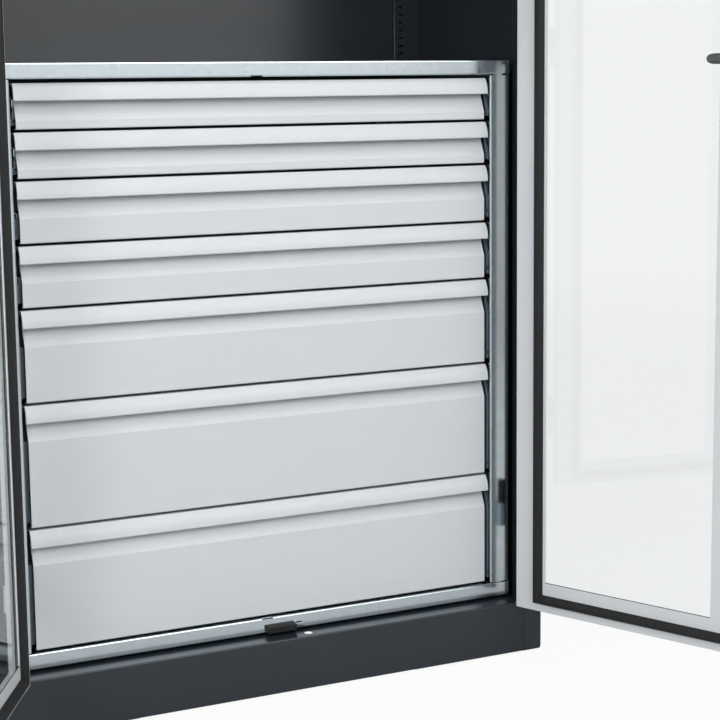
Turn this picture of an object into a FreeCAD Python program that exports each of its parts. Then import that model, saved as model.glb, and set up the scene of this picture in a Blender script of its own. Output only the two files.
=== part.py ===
import FreeCAD, Part
import math
import os

# Sheet-steel tool cabinet: a cupboard body with two hinged window doors, a block of
# seven full-extension drawers below and an open shelf compartment above.
# Millimetres. X runs to the right, Y to the back and Z up.
# The origin is the middle of the footprint, on the floor.

# ---- body
body_width = 1000.0
body_depth = 500.0
body_height = 1950.0
body_sheet = 1.2
bend_inside = 1.2          # inside radius of every fold
body_lift = 3.0            # the feet hold the sheet metal this far off the floor
front_column_width = 37.0
front_column_depth = 44.0
rear_column_width = 57.0
rear_column_depth = 28.0
plinth_height = 95.0
plinth_return = 14.0
header_height = 35.0
header_stop_height = 30.0
rear_fold = 30.0
back_panel_return = 18.0
flange_corner_radius = 7.0
flange_corner_run = 12.0
seam = 0.4                 # gap between neighbouring sheet parts
cut_past = 5.0             # how far the cutter of a hole runs past the sheet

# ---- shelf slots and shelves
slot_width = 8.5
slot_height = 3.0
slot_pitch = 15.0
slot_first_above_block = 4.0
slot_top_margin = 60.0
rear_slot_edge = 15.5      # slot centres, from the inner edge of their column
front_slot_edge = 16.0
shelf_fold = 30.0
shelf_return = 12.0
shelf_gap = 3.0
shelf_count = 2            # spread evenly over the slots
clip_width = 12.0
clip_height = 12.0
clip_reach = 14.0
clip_tab_width = 7.0
clip_tab_height = 2.2
clip_tab_reach = 1.8

# ---- drawer block housing
housing_sheet = 1.5
block_setback = 35.0       # face of the posts and rails, behind the front plane
block_rear_gap = 7.0       # in front of the rear columns
top_rail_height = 25.0
bottom_rail_lift = 4.0     # over the cabinet floor
bottom_rail_height = 26.0
rail_side_gap = 10.5       # to the front columns
post_width = 37.5
post_return = 12.0
post_slit = 1.6            # open joint between a post and a rail, beside the tongue
tongue_inset = 6.5         # from the inner edge of the post
tongue_width = 15.0
rail_return = 20.0
cover_rear_fold = 22.0
rear_tie_height = 28.0
rear_tie_depth = 23.0
notch_width = 20.0
notch_height = 2.4
notch_centre = -14.0
slit_width = 10.0
slit_height = 2.4
slit_centre = 43.0
slit_rise = 11.0           # over the lower edge of the rail

# ---- drawers, from the top down
drawer_heights = (75.0, 75.0, 100.0, 100.0, 150.0, 200.0, 200.0)
stack_gap_below = 3.0
stack_gap_above = 2.0
front_side_gap = 5.5       # between a grip and the posts
face_inset = 3.5           # the face plate ends short of the grip
front_sheet = 1.2
front_top_gap = 4.0
front_bottom_gap = 0.5
front_face_setback = 5.5   # main face, behind the face of the posts
front_bottom_return = 13.0
recess_setback = 19.0      # back of the finger recess, behind the face of the posts
recess_slope_height = 30.0
grip_height = 25.0
grip_lip_setback = -2.0    # the grip stands in front of the posts
grip_top_setback = 8.0
grip_thickness = 3.0
grip_lip_radius = 2.0
tray_sheet = 1.2
tray_rear_gap = 10.0
tray_floor_lift = 8.0
tray_top_gap = 14.0
tray_hem = 8.0

# ---- drawer slides: three members side by side at each side of a drawer
slide_rear_gap = 5.0
slide_height = 34.0
slide_lift = 14.0
slide_front_gap = 0.8      # behind the recess of the drawer front
slide_member = 6.4
slide_running_gap = 0.4
slide_wall = 1.4
slide_groove = 3.2

# ---- doors
door_gap = 2.5
door_meeting_gap = 3.0
door_thickness = 24.0
door_sheet = 1.2
door_edge_radius = 1.5
door_open_angle = 117.0
window_hinge_margin = 60.0
window_lock_margin = 85.0
window_end_margin = 53.0
window_rebate = 16.0       # the outer skin's opening is this much larger all round
pane_thickness = 4.0
pane_overlap = 9.0         # past the reveal, into the hollow of the door
pane_slot_gap = 0.2
seal_width = 12.5
seal_hinge_inset = 37.5
seal_lock_inset = 3.0
seal_end_inset = 17.0
seal_rest_gap = 0.5
seal_crown = 3.0
strip_width = 12.0
strip_overlap = 8.0        # past the free edge of the other door
strip_thickness = 3.0
strip_clearance = 0.4
strip_end_gap = 1.5

# ---- hinges
hinge_low = 259.0
hinge_middle = 1090.0
hinge_top_inset = 220.0    # from the top of the body
hinge_axis_offset = 1.0    # into the door gap, from the edge of the front column
hinge_axis_reach = 9.0     # in front of the front plane
knuckle_radius = 6.5
knuckle_height = 42.5
knuckle_gap = 0.4
knuckle_web = 16.0
pin_radius = 3.0
pin_clearance = 0.05
pin_head_radius = 5.0
pin_head_height = 2.0

# ---- lock of the right-hand door
rod_x = 53.0
rod_wall_gap = 0.5
rod_radius = 4.0
rod_hole_radius = 7.5
rod_edge_clearance = 0.5
rod_end_inset = 0.5
pinion_teeth = 16
rack_pitch = 5.0
tooth_height = 2.4
tooth_crest = 1.5
tooth_root = 2.9
mesh_clearance = 0.35
rack_back = 4.0
rack_length = 56.0
lock_height = 1050.0
pinion_width = 6.0
spindle_radius = 4.0
case_wall = 1.5
case_height = 84.0
case_clearance = 1.0
handle_length = 92.0
handle_width = 22.0
handle_depth = 20.0
handle_plate_height = 130.0
handle_plate_width = 34.0
handle_plate_thickness = 3.0
handle_gap = 0.5

# ---- closing buffer on the bottom rail
buffer_width = 52.0
buffer_height = 10.5
buffer_lift = 5.0          # over the lip of the plinth
buffer_centre = 9.6
buffer_radius = 1.0

# ---- feet
foot_pad_radius = 11.0
foot_plug_height = 18.0
foot_plug_clearance = 0.2
foot_plug_radius = 2.0

# ---- derived places; "setback" values count from the front plane to the back
half_width = body_width / 2
front_y = -body_depth / 2
jamb_x = half_width - front_column_width
column_x = half_width - rear_column_width
column_face = body_depth - rear_column_depth
side_top = body_height - body_sheet
block_face = block_setback
block_back = column_face - block_rear_gap
bottom_rail_base = plinth_height + bottom_rail_lift
bottom_rail_top = bottom_rail_base + bottom_rail_height
slit_level = bottom_rail_base + slit_rise
drawer_stack_base = bottom_rail_top + stack_gap_below
top_rail_base = drawer_stack_base + sum(drawer_heights) + stack_gap_above
block_top = top_rail_base + top_rail_height
rail_half_width = jamb_x - rail_side_gap
post_outer = rail_half_width
post_inner = post_outer - post_width
front_half_width = post_inner - front_side_gap
face_half_width = front_half_width - face_inset
tongue_x = post_inner + tongue_inset
rear_slot_x = column_x + rear_slot_edge
front_slot_x = jamb_x + front_slot_edge
housing_side_back = block_back - housing_sheet - bend_inside - seam
recess_back = block_face + recess_setback + front_sheet
slide_front = recess_back + slide_front_gap
slide_length = block_back - slide_rear_gap - slide_front
slot_base = block_top + slot_first_above_block
rod_setback = door_thickness - door_sheet - rod_wall_gap - rod_radius
pinion_pitch_radius = pinion_teeth * rack_pitch / (2 * math.pi)
rod_offset = pinion_pitch_radius + tooth_height / 2 + mesh_clearance / 2 + rack_back / 2
spindle_x = rod_x - rod_offset
upper_rod_x = spindle_x - rod_offset
tray_half_width = post_inner - 3 * slide_member - 2 * slide_running_gap
door_hinge_edge = jamb_x - door_gap
door_free_edge = door_meeting_gap / 2
door_bottom = plinth_height + door_gap
door_top = body_height - header_height - door_gap
hinge_x = jamb_x - hinge_axis_offset
hinge_heights = (hinge_low, hinge_middle, body_height - hinge_top_inset)
buffer_level = plinth_height + buffer_lift


def at(setback):
    """Y of a plane that lies this far behind the front plane."""
    return front_y + setback


def box(x0, x1, s0, s1, z0, z1):
    """Block between two X, two setbacks and two heights."""
    return Part.makeBox(x1 - x0, s1 - s0, z1 - z0, FreeCAD.Vector(x0, at(s0), z0))


def post(radius, x, setback, z0, z1):
    """Upright cylinder."""
    return Part.makeCylinder(radius, z1 - z0, FreeCAD.Vector(x, at(setback), z0))


def mirrored(shape):
    """The same piece on the left-hand side."""
    return shape.mirror(FreeCAD.Vector(0, 0, 0), FreeCAD.Vector(1, 0, 0))


def unit(a, b):
    """Direction from one section point to the next."""
    length = math.hypot(b[0] - a[0], b[1] - a[1])
    return (b[0] - a[0]) / length, (b[1] - a[1]) / length


def skin_curve(points, side, thickness, offset):
    """Edge points of one skin of a folded sheet, with the middle of each bend.

    points lie on the reference skin; the metal is on side (+1 left, -1 right) of it.
    offset is 0 for the reference skin and thickness for the other one.
    """
    chain = []
    last = len(points) - 1
    for i, p in enumerate(points):
        before = unit(points[max(i - 1, 0)], points[max(i, 1)])
        after = unit(points[min(i, last - 1)], points[min(i + 1, last)])
        shift_before = (-before[1] * side * offset, before[0] * side * offset)
        shift_after = (-after[1] * side * offset, after[0] * side * offset)
        if i in (0, last):
            chain.append(("point", (p[0] + shift_before[0], p[1] + shift_before[1])))
            continue
        turn = math.atan2(before[0] * after[1] - before[1] * after[0],
                          before[0] * after[0] + before[1] * after[1])
        toward_metal = turn * side > 0
        reference_radius = bend_inside + (thickness if toward_metal else 0.0)
        radius = reference_radius - offset if toward_metal else reference_radius + offset
        run = reference_radius * math.tan(abs(turn) / 2)
        start = (p[0] - before[0] * run + shift_before[0], p[1] - before[1] * run + shift_before[1])
        end = (p[0] + after[0] * run + shift_after[0], p[1] + after[1] * run + shift_after[1])
        hand = 1 if turn > 0 else -1
        centre = (start[0] - before[1] * hand * radius, start[1] + before[0] * hand * radius)
        away = unit(centre, ((start[0] + end[0]) / 2, (start[1] + end[1]) / 2))
        middle = (centre[0] + away[0] * radius, centre[1] + away[1] * radius)
        chain.append(("bend", start, middle, end))
    return chain


def chain_edges(chain, place):
    """Lines and arcs along one skin; place turns a section point into a 3-D one."""
    edges = []
    here = chain[0][1]
    for item in chain[1:]:
        start = item[1]
        edges.append(Part.LineSegment(place(here), place(start)).toShape())
        here = start
        if item[0] == "bend":
            edges.append(Part.Arc(place(start), place(item[2]), place(item[3])).toShape())
            here = item[3]
    return edges


def folded(points, side, thickness, place, sweep):
    """Folded sheet: its section is drawn round both skins and swept straight."""
    outer = skin_curve(points, side, thickness, 0.0)
    inner = skin_curve(points, side, thickness, thickness)
    edges = chain_edges(outer, place) + chain_edges(inner, place)
    for index in (0, -1):
        edges.append(Part.LineSegment(place(outer[index][-1 if index else 1]),
                                      place(inner[index][-1 if index else 1])).toShape())
    wire = Part.Wire(Part.__sortEdges__(edges))
    return Part.Face(wire).extrude(sweep)


def upright_fold(points, side, thickness, z0, z1):
    """Folded sheet with an (X, setback) section, running upwards."""
    return folded(points, side, thickness,
                  lambda p: FreeCAD.Vector(p[0], at(p[1]), z0), FreeCAD.Vector(0, 0, z1 - z0))


def cross_fold(points, side, thickness, x0, x1):
    """Folded sheet with a (setback, Z) section, running across the cabinet."""
    return folded(points, side, thickness,
                  lambda p: FreeCAD.Vector(x0, at(p[0]), p[1]), FreeCAD.Vector(x1 - x0, 0, 0))


def deep_fold(points, side, thickness, s0, s1):
    """Folded sheet with an (X, Z) section, running to the back."""
    return folded(points, side, thickness,
                  lambda p: FreeCAD.Vector(p[0], at(s0), p[1]), FreeCAD.Vector(0, s1 - s0, 0))


def slot_levels():
    """Heights of the shelf slots."""
    count = int((body_height - slot_top_margin - slot_base) / slot_pitch)
    return [slot_base + slot_pitch * n for n in range(count + 1)]


def shelf_slot_numbers():
    """The slots, counted from the lowest, that hold the clips of each shelf."""
    share = len(slot_levels()) / (shelf_count + 1)
    return [math.ceil(share * (n + 1)) for n in range(shelf_count)]


def side_panel():
    """Right side: outer sheet, front column, rear column and both rows of shelf slots."""
    lap = half_width - body_sheet - seam
    skin = [(lap, front_column_depth), (jamb_x, front_column_depth), (jamb_x, 0), (half_width, 0),
            (half_width, body_depth), (column_x, body_depth), (column_x, column_face),
            (lap, column_face)]
    panel = upright_fold(skin, 1, body_sheet, body_lift, side_top)
    cuts = []
    for z in slot_levels():
        for x, s in ((rear_slot_x, column_face), (front_slot_x, front_column_depth - body_sheet)):
            cuts.append(box(x - slot_width / 2, x + slot_width / 2, s - cut_past, s + body_sheet + cut_past,
                            z - slot_height / 2, z + slot_height / 2))
    r = flange_corner_radius
    corner = box(half_width - r, half_width + 1, -1, flange_corner_run, body_lift - 1, body_lift + r)
    round_part = Part.makeCylinder(r, flange_corner_run + 2,
                                   FreeCAD.Vector(half_width - r, at(-1), body_lift + r),
                                   FreeCAD.Vector(0, 1, 0))
    cuts.append(corner.cut(round_part))
    return panel.cut(Part.makeCompound(cuts))


def rear_corner_cuts(z0, z1):
    """Room for the two rear columns in a sheet part between the side panels."""
    cut = box(column_x - seam, half_width + 1, column_face - seam, body_depth + 1, z0, z1)
    return [cut, mirrored(cut)]


def base_pan():
    """Cabinet floor folded down to the plinth in front and at the back."""
    top = plinth_height
    skin = [(plinth_return, body_lift), (0, body_lift), (0, top), (body_depth, top),
            (body_depth, body_lift), (body_depth - plinth_return, body_lift)]
    reach = jamb_x - seam
    pan = cross_fold(skin, -1, body_sheet, -reach, reach)
    ear = box(reach - 1, half_width - body_sheet - seam, front_column_depth + seam,
              column_face - seam, top - body_sheet, top)
    pan = pan.fuse([ear, mirrored(ear)])
    cuts = rear_corner_cuts(0, top + 1)
    cuts.append(post(rod_hole_radius, rod_x, rod_setback, top - cut_past, top + cut_past))
    return pan.cut(cuts).removeSplitter()


def top_panel():
    """Cabinet top with the header over the doors and the strip that stops their seals."""
    top = body_height
    under = top - header_height
    skin = [(block_face, under - header_stop_height), (block_face, under), (0, under), (0, top),
            (body_depth, top), (body_depth, top - rear_fold)]
    reach = jamb_x - seam
    panel = cross_fold(skin, -1, body_sheet, -reach, reach)
    ear = box(reach - 1, half_width, 0, body_depth, side_top, top)
    panel = panel.cut(rear_corner_cuts(under, side_top))
    panel = panel.fuse([ear, mirrored(ear)])
    upper_hole = post(rod_hole_radius, upper_rod_x, rod_setback, under - cut_past, under + cut_past)
    return panel.cut(upper_hole).removeSplitter()


def back_panel():
    """Rear wall between the rear columns."""
    edge = column_x - seam
    back = column_face + back_panel_return
    skin = [(-edge, back), (-edge, column_face), (edge, column_face), (edge, back)]
    return upright_fold(skin, 1, body_sheet, plinth_height, side_top)


def shelf(level):
    """Loose shelf folded down at the front and the back."""
    front = front_column_depth + shelf_gap
    back = column_face - shelf_gap
    low = level - shelf_fold
    skin = [(front + shelf_return, low), (front, low), (front, level), (back, level),
            (back, low), (back - shelf_return, low)]
    reach = half_width - body_sheet - shelf_gap / 2
    return cross_fold(skin, -1, body_sheet, -reach, reach)


def shelf_slot_level(number):
    """Height of the slot, counted from the lowest, that holds a shelf's clips."""
    return slot_base + slot_pitch * number


def shelf_level(number):
    """Top of a shelf that rests on clips in this slot."""
    return shelf_slot_level(number) + clip_height / 2 + shelf_fold


def shelf_clip(x, face, direction, z):
    """Clip hooked into one slot; direction is +1 where it points to the back."""
    far = face + direction * clip_reach
    low, high = min(face, far), max(face, far)
    body = box(x - clip_width / 2, x + clip_width / 2, low, high, z - clip_height / 2,
               z + clip_height / 2)
    inner = face - direction * clip_tab_reach
    tab = box(x - clip_tab_width / 2, x + clip_tab_width / 2, min(face, inner), max(face, inner),
              z - clip_tab_height / 2, z + clip_tab_height / 2)
    return body.fuse(tab)


def shelf_clips():
    """Four clips under each shelf."""
    clips = []
    for number in shelf_slot_numbers():
        z = shelf_slot_level(number)
        for clip in (shelf_clip(front_slot_x, front_column_depth, 1, z),
                     shelf_clip(rear_slot_x, column_face, -1, z)):
            clips += [clip, mirrored(clip)]
    return clips


def housing_cover():
    """Lid of the drawer block, folded down in front to the top rail."""
    low = top_rail_base
    skin = [(block_face + post_return, low), (block_face, low), (block_face, block_top),
            (block_back, block_top), (block_back, block_top - cover_rear_fold)]
    cover = cross_fold(skin, -1, housing_sheet, -rail_half_width, rail_half_width)
    notch = box(notch_centre - notch_width / 2, notch_centre + notch_width / 2, block_face - 1,
                block_face + post_return + 1, low - 1, low + notch_height)
    return cover.cut(notch)


def bottom_rail():
    """Channel across the front under the lowest drawer."""
    low, high = bottom_rail_base, bottom_rail_top
    skin = [(block_face + rail_return, low), (block_face, low), (block_face, high),
            (block_face + rail_return, high)]
    rail = cross_fold(skin, -1, housing_sheet, -rail_half_width, rail_half_width)
    notch = box(notch_centre - notch_width / 2, notch_centre + notch_width / 2, block_face - 1,
                block_face + 4, high - notch_height, high + 1)
    slit = box(slit_centre - slit_width / 2, slit_centre + slit_width / 2, block_face - 1,
               block_face + 4, slit_level - slit_height / 2, slit_level + slit_height / 2)
    return rail.cut([notch, slit])


def housing_side():
    """Right wall of the drawer block, folded outwards in front to the post."""
    skin = [(post_inner, housing_side_back), (post_inner, block_face), (post_outer, block_face),
            (post_outer, block_face + post_return)]
    side = upright_fold(skin, 1, housing_sheet, plinth_height, block_top - housing_sheet)
    cuts = [box(post_inner - 1, post_outer + 1, block_face - 1, block_face + rail_return + seam,
                plinth_height - 1, bottom_rail_top + seam),
            box(post_inner - 1, post_outer + 1, block_face - 1, block_face + post_return + seam,
                top_rail_base - seam, block_top + 1)]
    for z in (bottom_rail_top, top_rail_base - post_slit):
        for x0, x1 in ((post_inner - 1, tongue_x), (tongue_x + tongue_width, post_outer + 1)):
            cuts.append(box(x0, x1, block_face - 1, block_face + post_return + seam, z, z + post_slit))
    return side.cut(cuts)


def rear_tie():
    """Angle that joins the two walls of the drawer block at the back."""
    back = housing_side_back
    skin = [(back - rear_tie_depth, plinth_height), (back, plinth_height),
            (back, plinth_height + rear_tie_height)]
    reach = post_inner - seam / 2
    return cross_fold(skin, 1, housing_sheet, -reach, reach)


def drawer_base(number):
    """Bottom of a drawer's share of the stack; number counts from 1 at the top."""
    return drawer_stack_base + sum(drawer_heights[number:])


def grip_section(top):
    """Section of the rolled grip: a crown that runs down and forward to a rounded lip."""
    lip = block_face + grip_lip_setback
    crown = block_face + grip_top_setback
    back = block_face + recess_setback
    low = top - grip_height
    drop = crown - lip
    radius = (drop * drop + grip_height * grip_height) / (2 * drop)
    half = math.asin(grip_height / radius) / 2

    def on_arc(r, angle):
        return lip + radius - r * math.cos(angle), low + r * math.sin(angle)

    inner = radius - grip_thickness
    inner_end = math.asin((grip_height - grip_thickness) / inner)
    return {"crown": (crown, top), "outer": on_arc(radius, half), "lip": (lip, low),
            "roll": (lip + grip_thickness / 2, low - grip_lip_radius),
            "lip_back": (lip + grip_thickness, low), "inner": on_arc(inner, inner_end / 2),
            "inner_top": on_arc(inner, inner_end), "back_low": (back, top - grip_thickness),
            "back_top": (back, top)}


def grip(base, height):
    """Rolled grip across the whole width of a drawer front."""
    p = grip_section(base + height - front_top_gap)
    v = {name: FreeCAD.Vector(-front_half_width, at(s), z) for name, (s, z) in p.items()}
    edges = [Part.LineSegment(v["back_top"], v["crown"]).toShape(),
             Part.Arc(v["crown"], v["outer"], v["lip"]).toShape(),
             Part.Arc(v["lip"], v["roll"], v["lip_back"]).toShape(),
             Part.Arc(v["lip_back"], v["inner"], v["inner_top"]).toShape(),
             Part.LineSegment(v["inner_top"], v["back_low"]).toShape(),
             Part.LineSegment(v["back_low"], v["back_top"]).toShape()]
    return Part.Face(Part.Wire(edges)).extrude(FreeCAD.Vector(2 * front_half_width, 0, 0))


def drawer_front(base, height):
    """Face plate with the sloped finger recess, and the grip that stands over it."""
    top = base + height - front_top_gap
    recess = block_face + recess_setback
    face = block_face + front_face_setback
    low = base + front_bottom_gap
    recess_low = top - grip_height - grip_lip_radius
    skin = [(recess, top), (recess, recess_low), (face, recess_low - recess_slope_height),
            (face, low), (face + front_bottom_return, low)]
    plate = cross_fold(skin, 1, front_sheet, -face_half_width, face_half_width)
    return [plate, grip(base, height)]


def tray_levels(base, height):
    """Underside and rim of a drawer tray."""
    return base + tray_floor_lift, base + height - tray_top_gap


def drawer_tray(base, height):
    """Five sheets behind a drawer front: floor, two sides hemmed outwards and two end walls."""
    low, high = tray_levels(base, height)
    t = tray_sheet
    front = recess_back
    back = block_back - tray_rear_gap
    w = tray_half_width
    floor = box(-w, w, front, back, low, low + t)
    side = deep_fold([(w, low + t), (w, high), (w + tray_hem, high)], 1, t, front, back)
    walls = [box(t - w, w - t, s, s + t, low + t, high - t) for s in (front, back - t)]
    return [floor, side, mirrored(side)] + walls


def channel(x_web, x_lip, base):
    """Slide member of channel section between two X, open towards x_lip."""
    hand = 1 if x_lip > x_web else -1
    low = base + slide_lift
    high = low + slide_height
    inner = x_web + hand * slide_wall
    outline = [(x_web, low), (x_lip, low), (x_lip, low + slide_wall), (inner, low + slide_wall),
               (inner, high - slide_wall), (x_lip, high - slide_wall), (x_lip, high), (x_web, high)]
    return slide_bar(outline)


def slide_bar(outline):
    """Slide member with an (X, Z) section, as long as the slide."""
    y = at(slide_front)
    points = [FreeCAD.Vector(x, y, z) for x, z in outline + outline[:1]]
    return Part.Face(Part.makePolygon(points)).extrude(FreeCAD.Vector(0, slide_length, 0))


def middle_member(x0, x1, base):
    """Middle slide member: a bar with a running groove along each face."""
    low = base + slide_lift + slide_wall
    high = low + slide_height - 2 * slide_wall
    mid = (low + high) / 2
    half = slide_groove
    deep = slide_wall
    outline = [(x0, low), (x1, low), (x1, mid - half), (x1 - deep, mid - half),
               (x1 - deep, mid + half), (x1, mid + half), (x1, high), (x0, high),
               (x0, mid + half), (x0 + deep, mid + half), (x0 + deep, mid - half), (x0, mid - half)]
    return slide_bar(outline)


def slide_members(base):
    """Fixed, middle and drawer members of one drawer, right and left of each."""
    step = slide_member + slide_running_gap
    outer = post_inner
    fixed = channel(outer, outer - slide_member, base)
    middle = middle_member(outer - step - slide_member, outer - step, base)
    moving = channel(tray_half_width, tray_half_width + slide_member, base)
    return [[member, mirrored(member)] for member in (fixed, middle, moving)]


def window_edges(grow):
    """Low X, high X, low Z and high Z of the right door's window, grown all round."""
    return (door_free_edge + window_lock_margin - grow, door_hinge_edge - window_hinge_margin + grow,
            door_bottom + window_end_margin - grow, door_top - window_end_margin + grow)


def window_block(grow, s0, s1):
    """Block through the right door with the window's outline."""
    x0, x1, z0, z1 = window_edges(grow)
    return box(x0, x1, s0, s1, z0, z1)


def long_edges(shape, setback):
    """Straight outer edges of a block in the plane at this setback."""
    return [e for e in shape.Edges
            if all(abs(v.Point.y - at(setback)) < 1e-6 for v in e.Vertexes)]


def door_panel(with_lock):
    """Double-skinned door, drawn shut on the right: shell, window reveal and pane slot."""
    t = door_sheet
    shell = box(door_free_edge, door_hinge_edge, 0, door_thickness, door_bottom, door_top)
    rounded = long_edges(shell, 0) + long_edges(shell, door_thickness)
    shell = shell.makeFillet(door_edge_radius, rounded)
    hollow = box(door_free_edge + t, door_hinge_edge - t, t, door_thickness - t, door_bottom + t,
                 door_top - t)
    reveal_end = door_thickness - t - pane_thickness - pane_slot_gap
    hollow = hollow.cut(window_block(window_rebate + t, 0, reveal_end))
    cuts = [hollow, window_block(window_rebate, -1, door_thickness - t),
            window_block(0, 0, door_thickness + 1)]
    if with_lock:
        hole = rod_radius + rod_edge_clearance
        cuts.append(post(hole, rod_x, rod_setback, door_bottom - 1, door_bottom + t + 1))
        cuts.append(post(hole, upper_rod_x, rod_setback, door_top - t - 1, door_top + 1))
        cuts.append(through(spindle_radius + rod_edge_clearance, spindle_x, -1, t + 1))
    return shell.cut(cuts)


def through(radius, x, s0, s1):
    """Cylinder to the back at the height of the lock."""
    return Part.makeCylinder(radius, s1 - s0, FreeCAD.Vector(x, at(s0), lock_height),
                             FreeCAD.Vector(0, 1, 0))


def door_pane():
    """Clear pane held behind the inner skin, all round."""
    back = door_thickness - door_sheet
    return window_block(window_rebate + pane_overlap, back - pane_thickness, back)


def seal_ends():
    """Lowest and highest point of a door's seal."""
    return door_bottom + seal_end_inset, door_top - seal_end_inset


def door_seal():
    """Rubber profile along the hinge side, the bottom and the top of a door."""
    high = block_face - seal_rest_gap
    x0 = door_free_edge + seal_lock_inset
    x1 = door_hinge_edge - seal_hinge_inset
    z0, z1 = seal_ends()
    w = seal_width
    seal = box(x0, x1, door_thickness, high, z0, z1)
    seal = seal.cut(box(x0 - 1, x1 - w, door_thickness - 1, high + 1, z0 + w, z1 - w))
    return seal.makeFillet(seal_crown, long_edges(seal, high))


def meeting_strip():
    """Rubber strip of the left door, drawn on the right, that laps over the meeting gap."""
    z0, z1 = seal_ends()
    low = z0 + seal_width + strip_end_gap
    high = z1 - seal_width - strip_end_gap
    root = door_thickness
    lip = root + strip_clearance
    back = root + strip_thickness
    tip = -door_free_edge - strip_overlap
    outline = [(door_free_edge + strip_width, root), (door_free_edge, root), (door_free_edge, lip),
               (tip, lip), (tip, back), (door_free_edge + strip_width, back)]
    points = [FreeCAD.Vector(x, at(s), low) for x, s in outline + outline[:1]]
    return Part.Face(Part.makePolygon(points)).extrude(FreeCAD.Vector(0, 0, high - low))


def knuckle(z0, z1, hand):
    """Hinge barrel with its weld web: hand +1 reaches over the body, -1 over the door."""
    setback = -hinge_axis_reach
    barrel = post(knuckle_radius, hinge_x, setback, z0, z1)
    x0, x1 = sorted((hinge_x, hinge_x + hand * knuckle_web))
    web = box(x0, x1, setback, 0, z0, z1)
    bore = post(pin_radius + pin_clearance, hinge_x, setback, z0 - 1, z1 + 1)
    return barrel.fuse(web).cut(bore).removeSplitter()


def frame_knuckles():
    """Upper half of each right-hand hinge, welded to the body."""
    return [knuckle(z, z + knuckle_height, 1) for z in hinge_heights]


def door_knuckles():
    """Lower half of each right-hand hinge, welded to the door."""
    return [knuckle(z - knuckle_gap - knuckle_height, z - knuckle_gap, -1) for z in hinge_heights]


def hinge_pins():
    """Pins of the right-hand hinges, with a head on top."""
    pins = []
    for z in hinge_heights:
        low = z - knuckle_gap - knuckle_height
        high = z + knuckle_height
        pin = post(pin_radius, hinge_x, -hinge_axis_reach, low, high)
        head = post(pin_head_radius, hinge_x, -hinge_axis_reach, high, high + pin_head_height)
        pins.append(pin.fuse(head).removeSplitter())
    return pins


def gear_blank(root, crest, s0, s1):
    """Toothed pinion on the spindle's axis."""
    step = 2 * math.pi / pinion_teeth
    outline = []
    for n in range(pinion_teeth):
        middle = n * step
        half_root = tooth_root / 2 / root
        half_crest = tooth_crest / 2 / crest
        for r, a in ((root, middle - half_root), (crest, middle - half_crest),
                     (crest, middle + half_crest), (root, middle + half_root)):
            outline.append(FreeCAD.Vector(spindle_x + r * math.cos(a), at(s0),
                                          lock_height + r * math.sin(a)))
    outline.append(outline[0])
    return Part.Face(Part.makePolygon(outline)).extrude(FreeCAD.Vector(0, s1 - s0, 0))


def lock_pinion():
    """Pinion that drives both rods."""
    root = pinion_pitch_radius - tooth_height / 2
    crest = pinion_pitch_radius + tooth_height / 2 - mesh_clearance
    blank = gear_blank(root, crest, rod_setback - pinion_width / 2, rod_setback + pinion_width / 2)
    return blank.cut(through(spindle_radius, spindle_x, 0, door_thickness))


def rack_teeth(x_root, hand):
    """Row of rack teeth that points from x_root towards the pinion."""
    teeth = []
    count = int(rack_length / rack_pitch / 2)
    s0 = rod_setback - pinion_width / 2
    for n in range(-count, count):
        z = lock_height + (n + 0.5) * rack_pitch
        tip = x_root + hand * (tooth_height - mesh_clearance)
        points = [(x_root, z - tooth_root / 2), (tip, z - tooth_crest / 2),
                  (tip, z + tooth_crest / 2), (x_root, z + tooth_root / 2)]
        vectors = [FreeCAD.Vector(x, at(s0), h) for x, h in points + points[:1]]
        tooth = Part.Face(Part.makePolygon(vectors)).extrude(FreeCAD.Vector(0, pinion_width, 0))
        teeth.append(tooth)
    return teeth


def lock_rod(x, end, hand):
    """Lock rod from its rack to one end of the door; hand points to the pinion."""
    half = rack_length / 2
    s0 = rod_setback - pinion_width / 2
    x0, x1 = x - rack_back / 2, x + rack_back / 2
    bar = box(x0, x1, s0, s0 + pinion_width, lock_height - half, lock_height + half)
    teeth = rack_teeth(x + hand * rack_back / 2, hand)
    if end < lock_height:
        shaft = post(rod_radius, x, rod_setback, end, lock_height - half + 1)
    else:
        shaft = post(rod_radius, x, rod_setback, lock_height + half - 1, end)
    return bar.fuse(teeth + [shaft]).removeSplitter()


def lower_lock_rod():
    """Rod that drops through the lip of the plinth."""
    return lock_rod(rod_x, door_bottom + rod_end_inset, -1)


def upper_lock_rod():
    """Rod that rises into the header."""
    return lock_rod(upper_rod_x, door_top - rod_end_inset, 1)


def lock_case():
    """Case round the pinion and both racks, open above and below for the rods."""
    reach = rod_offset + rod_radius + case_clearance
    front = door_sheet
    back = door_thickness - door_sheet
    z0, z1 = lock_height - case_height / 2, lock_height + case_height / 2
    x0, x1 = spindle_x - reach - case_wall, spindle_x + reach + case_wall
    x0 = max(x0, door_free_edge + door_sheet)
    shell = box(x0, x1, front, back, z0, z1)
    inside = box(x0 + case_wall, x1 - case_wall, front + case_wall, back, z0 - 1, z1 + 1)
    spindle_hole = through(spindle_radius + rod_edge_clearance, spindle_x, 0, front + case_wall + 1)
    return shell.cut([inside, spindle_hole])


def lock_handle():
    """Turning grip on its spindle, lying across the door when the rods are drawn in."""
    r = handle_width / 2
    near = -handle_plate_thickness - handle_gap
    far = near - handle_depth
    length = handle_length - r
    grip_bar = box(spindle_x, spindle_x + length, far, near, lock_height - r, lock_height + r)
    tip = through(r, spindle_x + length, far, near)
    hub = through(r, spindle_x, far, near)
    bar = grip_bar.fuse([hub, tip]).removeSplitter()
    bar = bar.makeFillet(r / 3, long_edges(bar, far))
    spindle = through(spindle_radius, spindle_x, near - 1, rod_setback + pinion_width / 2)
    return bar.fuse(spindle).removeSplitter()


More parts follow.
